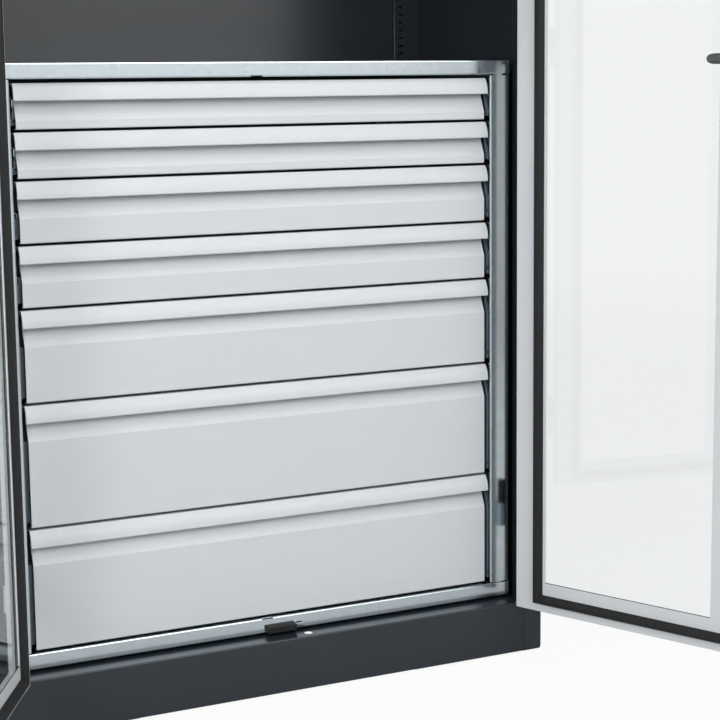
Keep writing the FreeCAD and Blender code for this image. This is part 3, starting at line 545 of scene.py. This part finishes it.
def seen_share(tree, mirrored):
    """1 for rays that the eye sees directly or through glass, and mirrored for rays off a mirror."""
    path = add_node(tree, "ShaderNodeLightPath")
    through = add_node(tree, "ShaderNodeMath", {"operation": "MAXIMUM"},
                       {0: path.outputs["Is Camera Ray"], 1: path.outputs["Is Transmission Ray"]})
    reflected = add_node(tree, "ShaderNodeMath", {"operation": "MULTIPLY"},
                         {0: path.outputs["Is Glossy Ray"], 1: mirrored})
    both = add_node(tree, "ShaderNodeMath", {"operation": "MAXIMUM"},
                    {0: through.outputs["Value"], 1: reflected.outputs["Value"]})
    return both.outputs["Value"]


AIR_LEVEL = 0.40        # what the white room gives as light
# A dark screen stands to the right of the cabinet, and only mirrors see it. Its edges are bearings from the
# front, between which it begins and ends softly.
SCREEN_LEVEL = 0.1
SCREEN_EDGES = [math.radians(angle) for angle in (27.6, 29.4, 80.0, 110.0)]

world = bpy.data.worlds.new("white_room")
bpy.context.scene.world = world
world.use_nodes = True
tree = world.node_tree
tree.nodes.clear()
heading = add_node(tree, "ShaderNodeTexCoord").outputs["Generated"]
way = add_node(tree, "ShaderNodeSeparateXYZ", None, {0: heading})
forward = add_node(tree, "ShaderNodeMath", {"operation": "MULTIPLY", 1: -1.0}, {0: way.outputs["Y"]})
bearing = add_node(tree, "ShaderNodeMath", {"operation": "ARCTAN2"},
                   {0: way.outputs["X"], 1: forward.outputs["Value"]})
near_edge = add_node(tree, "ShaderNodeMapRange", {
    "From Min": SCREEN_EDGES[0], "From Max": SCREEN_EDGES[1], "To Min": 1.0, "To Max": SCREEN_LEVEL,
    "interpolation_type": "SMOOTHSTEP",
}, {"Value": bearing.outputs["Value"]})
far_edge = add_node(tree, "ShaderNodeMapRange", {
    "From Min": SCREEN_EDGES[2], "From Max": SCREEN_EDGES[3], "interpolation_type": "SMOOTHSTEP",
}, {"Value": bearing.outputs["Value"]})
screened = add_node(tree, "ShaderNodeMath", {"operation": "MAXIMUM"},
                    {0: near_edge.outputs["Result"], 1: far_edge.outputs["Result"]})
strength = add_node(tree, "ShaderNodeMapRange", {"To Min": AIR_LEVEL, "To Max": 1.0},
                    {"Value": seen_share(tree, screened.outputs["Value"])})
air = add_node(tree, "ShaderNodeBackground", {"Color": (1.0, 1.0, 1.0, 1.0)},
               {"Strength": strength.outputs["Result"]})
add_node(tree, "ShaderNodeOutputWorld", None, {"Surface": air.outputs["Background"]})

FLOOR_RADIUS = 7.0
FLOOR_SIDES = 96
FLOOR_FADE = (2.6, 6.5)     # the floor gives way to the white room between these distances
FLOOR_WHITE = 0.93          # the rest of the floor's white is lit, and carries the shadow
FLOOR_MIRRORED = 0.10       # how much of that white metal and glass mirror
DARK_CENTRE = 0.371         # how far the dark patches under the cabinet's sides lie from its middle
DARK_HALF_WIDTH = 0.121
DARK_HALF_DEPTH = 0.242

floor_mesh = bpy.data.meshes.new("studio_floor")
disc = bmesh.new()
bmesh.ops.create_circle(disc, cap_ends=True, segments=FLOOR_SIDES, radius=FLOOR_RADIUS)
disc.to_mesh(floor_mesh)
disc.free()
floor = bpy.data.objects.new("studio_floor", floor_mesh)
bpy.context.scene.collection.objects.link(floor)

floor_material, tree = new_material("white_vinyl_floor")
place = add_node(tree, "ShaderNodeTexCoord").outputs["Object"]
distance = add_node(tree, "ShaderNodeVectorMath", {"operation": "LENGTH"}, {0: place})
fade = add_node(tree, "ShaderNodeMapRange", {
    "From Min": FLOOR_FADE[0], "From Max": FLOOR_FADE[1], "interpolation_type": "SMOOTHSTEP",
}, {"Value": distance.outputs["Value"]})
flecks = add_node(tree, "ShaderNodeTexNoise", {"Scale": 1 / (40 * MM), "Detail": 4.0}, {"Vector": place})
vinyl = add_node(tree, "ShaderNodeBsdfDiffuse", None,
                 {"Color": blend_colours(tree, flecks.outputs["Fac"], "#DCDCDC", "#D6D6D6")})
glow = add_node(tree, "ShaderNodeEmission", {"Color": (1.0, 1.0, 1.0, 1.0), "Strength": 1.0})
# The floor under each side of the cabinet stays dark: it shows through the seams of the plinth.
sides = add_node(tree, "ShaderNodeVectorMath", {"operation": "ABSOLUTE"}, {0: place})
reach = add_node(tree, "ShaderNodeSeparateXYZ", None, {0: sides.outputs["Vector"]})
beside = add_node(tree, "ShaderNodeMath", {"operation": "COMPARE", 1: DARK_CENTRE, 2: DARK_HALF_WIDTH},
                  {0: reach.outputs["X"]})
behind = add_node(tree, "ShaderNodeMath", {"operation": "LESS_THAN", 1: DARK_HALF_DEPTH},
                  {0: reach.outputs["Y"]})
covered = add_node(tree, "ShaderNodeMath", {"operation": "MULTIPLY"},
                   {0: beside.outputs["Value"], 1: behind.outputs["Value"]})
open_floor = add_node(tree, "ShaderNodeMath", {"operation": "SUBTRACT", 0: 1.0},
                      {1: covered.outputs["Value"]})
mirrored = add_node(tree, "ShaderNodeMath", {"operation": "MULTIPLY", 1: FLOOR_MIRRORED},
                    {0: open_floor.outputs["Value"]})
whitened = add_node(tree, "ShaderNodeMath", {"operation": "MULTIPLY", 1: FLOOR_WHITE},
                    {0: open_floor.outputs["Value"]})
share = add_node(tree, "ShaderNodeMath", {"operation": "MULTIPLY"},
                 {0: whitened.outputs["Value"], 1: seen_share(tree, mirrored.outputs["Value"])})
lit = add_node(tree, "ShaderNodeMixShader", None,
               {0: share.outputs["Value"], 1: vinyl.outputs["BSDF"], 2: glow.outputs["Emission"]})
gone = add_node(tree, "ShaderNodeBsdfTransparent")
whole = add_node(tree, "ShaderNodeMixShader", None,
                 {0: fade.outputs["Result"], 1: lit.outputs["Shader"], 2: gone.outputs["BSDF"]})
finish_surface(tree, whole.outputs["Shader"])
floor_mesh.materials.append(floor_material)


def add_lamp(name, place, target, size, watts):
    """A square soft lamp that faces target."""
    lamp = bpy.data.lights.new(name, "AREA")
    lamp.shape = "SQUARE"
    lamp.size = size
    lamp.energy = watts
    holder = bpy.data.objects.new(name, lamp)
    holder.location = place
    holder.rotation_euler = (Vector(target) - Vector(place)).to_track_quat("-Z", "Y").to_euler()
    bpy.context.scene.collection.objects.link(holder)


# Seen from the front, the lamps stand too high for rails and posts to mirror them. The left lamp lights the
# inside of the right door.
add_lamp("key_lamp", (-0.7, -3.6, 2.1), (0.0, -0.25, 0.8), 1.6, 26.0)
add_lamp("left_lamp", (-3.2, -2.1, 2.15), (0.55, -0.5, 1.0), 1.6, 70.0)
add_lamp("side_lamp", (1.1, -3.0, 2.12), (0.0, -0.25, 1.0), 1.7, 25.0)
add_lamp("top_lamp", (0.8, -1.9, 4.1), (0.0, -0.25, 0.4), 1.7, 36.0)
